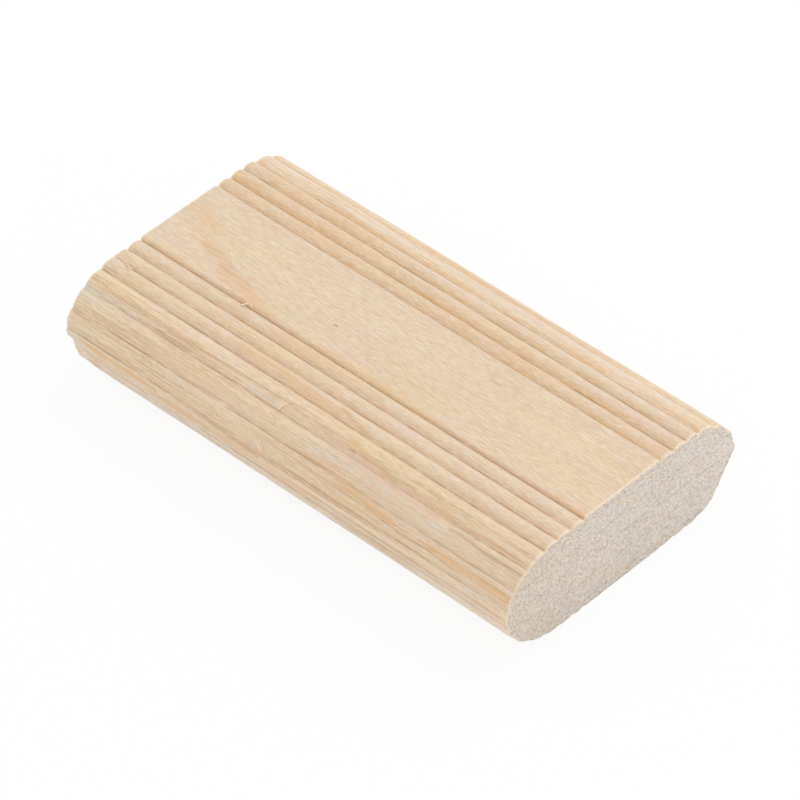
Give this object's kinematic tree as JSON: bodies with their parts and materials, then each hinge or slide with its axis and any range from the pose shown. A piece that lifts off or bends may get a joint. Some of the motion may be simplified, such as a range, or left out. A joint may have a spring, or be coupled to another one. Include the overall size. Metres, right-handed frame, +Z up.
{
  "type": "loose tenon",
  "caption": "Flat hardwood tongue with rounded, reeded long edges, a plain land down each face and square sawn ends, glued into two facing mortises.",
  "frame": {"origin": "middle of the lower face, which the tenon lies on", "axes": "+X along the length and the grain, +Y across the width, +Z up through the thickness"},
  "size_m": [0.04, 0.022, 0.008],
  "materials": {
    "beech": "bare moulded beech, matt, with paler sawn end grain"
  },
  "bodies": {
    "root": {"tenon": "beech"}
  },
  "joints": []
}
